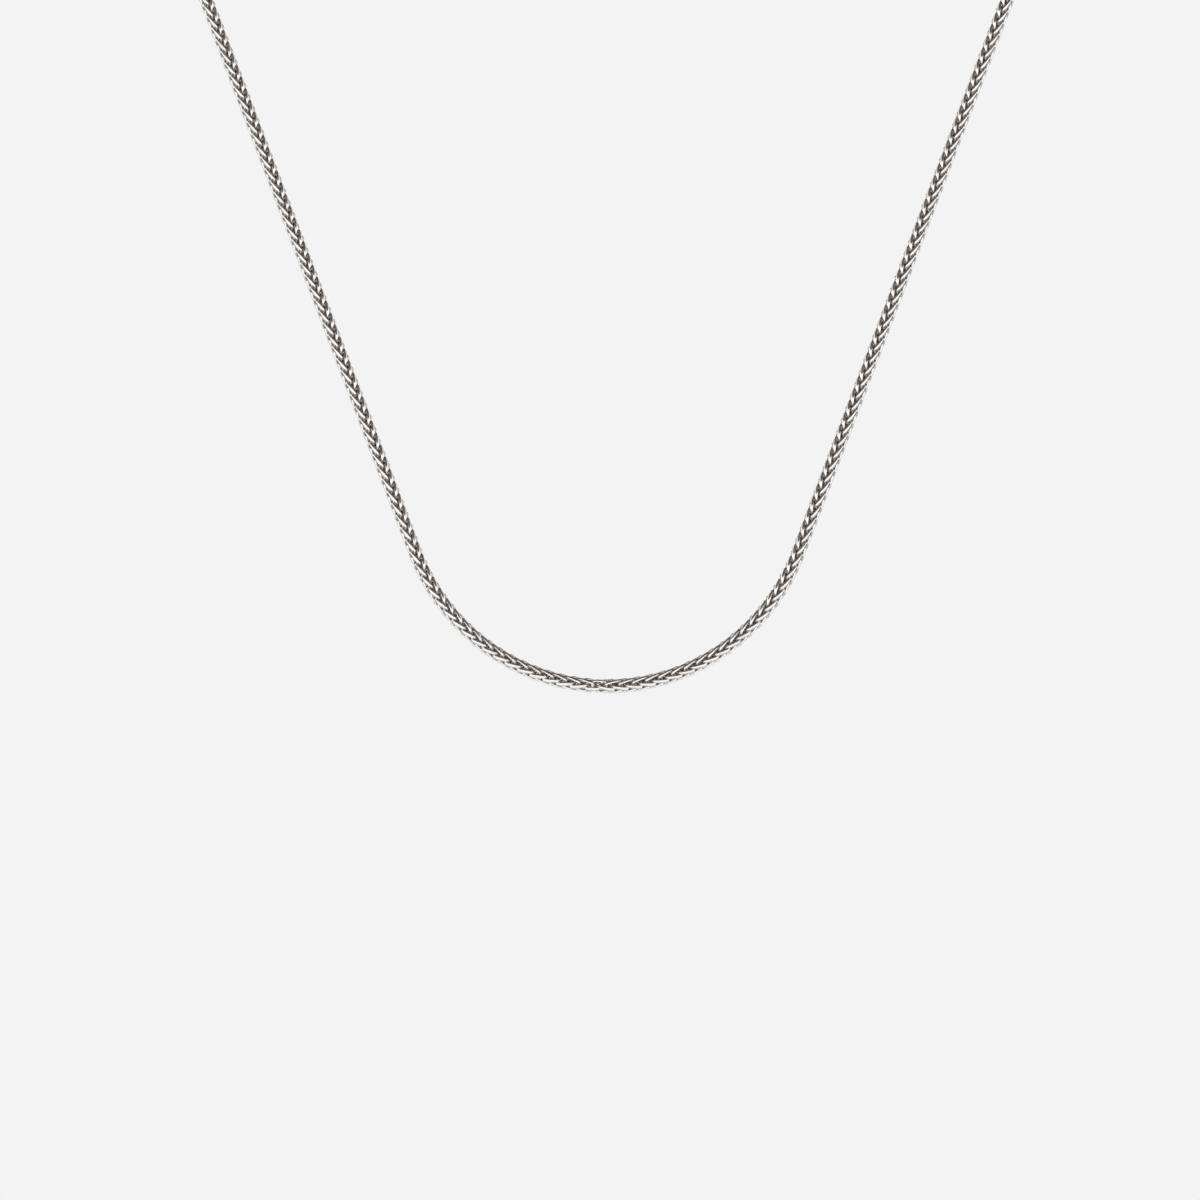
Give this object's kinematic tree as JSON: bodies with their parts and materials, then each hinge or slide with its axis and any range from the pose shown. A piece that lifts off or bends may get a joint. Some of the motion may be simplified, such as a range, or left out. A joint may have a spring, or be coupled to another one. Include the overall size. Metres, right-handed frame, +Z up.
{
  "type": "wheat chain necklace",
  "caption": "Round wheat chain necklace in bright silver, a closed loop with a plain ring clasp at the nape, held in its worn form with a deep V drop at the front.",
  "frame": {"origin": "middle of the clasp, where the closed loop lies against the nape", "axes": "+Z up, the drop hangs at the front towards -Y, +X across the neck to the right as seen from the front"},
  "size_m": [0.1246, 0.1115, 0.1374],
  "materials": {
    "chain_silver": "bright polished silver wire, darker in the hollows of the weave",
    "ring_silver": "polished silver wire",
    "clasp_silver": "polished silver with fine wear lines"
  },
  "bodies": {
    "root": {"chain_left": "chain_silver", "chain_right": "chain_silver", "end_ring_left": "ring_silver", "end_ring_right": "ring_silver", "clasp": "clasp_silver"}
  },
  "joints": []
}
